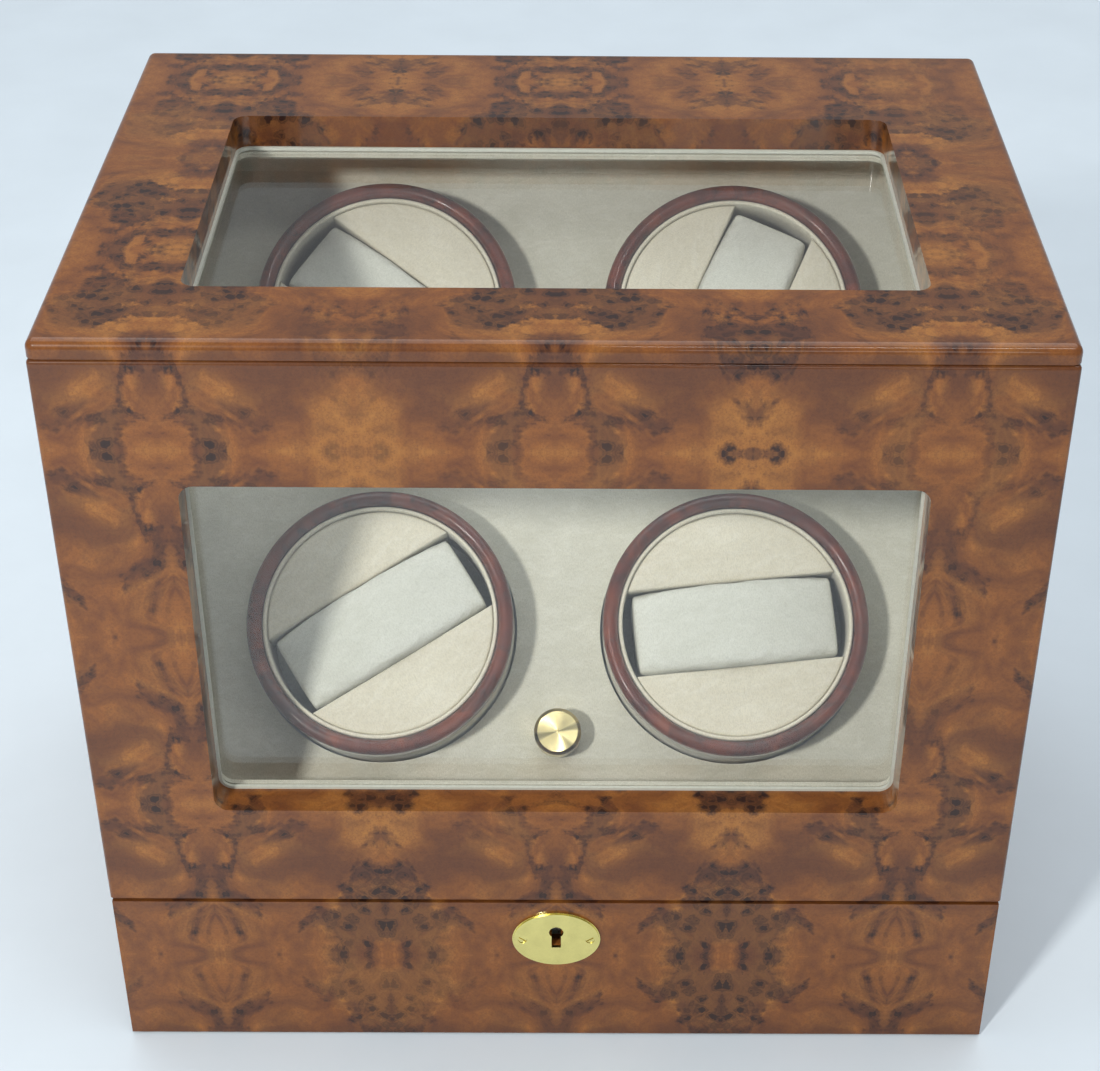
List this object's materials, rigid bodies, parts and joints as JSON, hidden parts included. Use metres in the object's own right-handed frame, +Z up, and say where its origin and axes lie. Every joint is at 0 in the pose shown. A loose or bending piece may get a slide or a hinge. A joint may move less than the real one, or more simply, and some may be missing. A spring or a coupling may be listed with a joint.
{
  "type": "watch winder box",
  "caption": "Veneered watch winder box with a glazed hinged lid, suede-covered sloping panel, driven turntables with removable pillows, control knob and lid lock.",
  "frame": {"origin": "centre of the underside of the bounding box, on the felt the case stands on", "axes": "+X to the right seen from the front, +Y to the back where the lid hinges are, +Z up; the lock faces -Y"},
  "size_m": [0.32, 0.241, 0.294],
  "materials": {
    "burl_veneer": "high gloss lacquer over figured veneer",
    "plywood": "raw board",
    "base_felt": "felt",
    "suede": "suede-like lining",
    "zinc_plate": "plated sheet",
    "steel": "bright",
    "motor_steel": "plated can",
    "rubber": "matte",
    "board_green": "solder mask",
    "switch_body": "matte",
    "black_plastic": "satin",
    "brass": "polished",
    "clear_glass": "clear",
    "bead": "satin",
    "pulley_plastic": "moulded",
    "drum": "flocked",
    "ring_wood": "high gloss lacquer",
    "suede_pad": "suede",
    "pillow_suede": "suede"
  },
  "bodies": {
    "case": {"base_front": "burl_veneer", "side_panel_left": "burl_veneer", "side_panel_right": "burl_veneer", "back_panel": "burl_veneer", "rear_rail": "burl_veneer", "bottom_board": "plywood", "base_felt": "base_felt", "deck_board": "suede", "winder_panel": "plywood", "panel_suede": "suede", "case_linings": "suede", "panel_cleats": "plywood", "mechanism_plate": "zinc_plate", "standoffs": "steel", "axle_studs": "steel", "plate_screws": "steel", "drive_motors": "motor_steel", "drive_belts": "rubber", "control_board": "board_green", "rotary_switch": "switch_body", "dc_jack": "black_plastic", "case_screws": "steel", "escutcheon": "brass", "escutcheon_screws": "brass", "lock_case": "steel", "lid_bumpers": "rubber", "hinge_leaves_case": "brass", "hinge_pins": "steel", "wiring": "black_plastic"},
    "lid": {"lid_top_frame": "burl_veneer", "lid_front_frame": "burl_veneer", "top_glass": "clear_glass", "front_glass": "clear_glass", "glass_beads": "bead", "glass_stops": "suede", "hinge_leaves_lid": "brass", "hinge_screws_lid": "brass", "strike_plate": "brass", "lid_corner_blocks": "burl_veneer"},
    "knob": {"control_knob": "brass", "switch_shaft": "steel"},
    "bolt": {"lock_bolt": "brass"},
    "pulley_left": {"motor_pulley_left": "pulley_plastic"},
    "pulley_right": {"motor_pulley_right": "pulley_plastic"},
    "turntable_lower_left": {"drum_lower_left": "drum", "ring_lower_left": "ring_wood", "face_lower_left": "suede_pad"},
    "turntable_lower_right": {"drum_lower_right": "drum", "ring_lower_right": "ring_wood", "face_lower_right": "suede_pad"},
    "turntable_upper_left": {"drum_upper_left": "drum", "ring_upper_left": "ring_wood", "face_upper_left": "suede_pad"},
    "turntable_upper_right": {"drum_upper_right": "drum", "ring_upper_right": "ring_wood", "face_upper_right": "suede_pad"},
    "pillow_body_lower_left": {"pillow_lower_left": "pillow_suede"},
    "pillow_body_lower_right": {"pillow_lower_right": "pillow_suede"},
    "pillow_body_upper_left": {"pillow_upper_left": "pillow_suede"},
    "pillow_body_upper_right": {"pillow_upper_right": "pillow_suede"}
  },
  "joints": [
    {"name": "lid_hinge", "type": "hinge", "parent": "case", "child": "lid", "pos_m": [0, 0.11795, 0.2757], "axis": [-1, 0, 0], "range_deg": [0, 95]},
    {"name": "knob_turn", "type": "hinge", "parent": "case", "child": "knob", "pos_m": [0, -0.05788, 0.09597], "axis": [0, -0.7071, 0.7071], "range_deg": [0, 270]},
    {"name": "bolt_throw", "type": "slide", "parent": "case", "child": "bolt", "axis": [0, 0, 1], "range_m": [0, 0.0048]},
    {"name": "turn_lower_left", "type": "hinge", "parent": "case", "child": "turntable_lower_left", "pos_m": [-0.0656, -0.02995, 0.1239], "axis": [0, -0.7071, 0.7071], "continuous": true},
    {"name": "turn_lower_right", "type": "hinge", "parent": "case", "child": "turntable_lower_right", "pos_m": [0.0656, -0.02995, 0.1239], "axis": [0, -0.7071, 0.7071], "continuous": true},
    {"name": "turn_upper_left", "type": "hinge", "parent": "case", "child": "turntable_upper_left", "pos_m": [-0.0656, 0.05349, 0.20734], "axis": [0, -0.7071, 0.7071], "continuous": true},
    {"name": "turn_upper_right", "type": "hinge", "parent": "case", "child": "turntable_upper_right", "pos_m": [0.0656, 0.05349, 0.20734], "axis": [0, -0.7071, 0.7071], "continuous": true},
    {"name": "lift_pillow_lower_left", "type": "slide", "parent": "turntable_lower_left", "child": "pillow_body_lower_left", "axis": [0, -0.7071, 0.7071], "range_m": [0, 0.025]},
    {"name": "lift_pillow_lower_right", "type": "slide", "parent": "turntable_lower_right", "child": "pillow_body_lower_right", "axis": [0, -0.7071, 0.7071], "range_m": [0, 0.025]},
    {"name": "lift_pillow_upper_left", "type": "slide", "parent": "turntable_upper_left", "child": "pillow_body_upper_left", "axis": [0, -0.7071, 0.7071], "range_m": [0, 0.025]},
    {"name": "lift_pillow_upper_right", "type": "slide", "parent": "turntable_upper_right", "child": "pillow_body_upper_right", "axis": [0, -0.7071, 0.7071], "range_m": [0, 0.025]},
    {"name": "motor_left", "type": "hinge", "parent": "case", "child": "pulley_left", "pos_m": [-0.0656, 0.01177, 0.16562], "axis": [0, -0.7071, 0.7071], "continuous": true},
    {"name": "motor_right", "type": "hinge", "parent": "case", "child": "pulley_right", "pos_m": [0.0656, 0.01177, 0.16562], "axis": [0, -0.7071, 0.7071], "continuous": true}
  ],
  "couplings": [
    {"joint": "turn_upper_left", "follows": "turn_lower_left", "ratio": 1},
    {"joint": "motor_left", "follows": "turn_lower_left", "ratio": 9.2},
    {"joint": "turn_upper_right", "follows": "turn_lower_right", "ratio": 1},
    {"joint": "motor_right", "follows": "turn_lower_right", "ratio": 9.2}
  ]
}
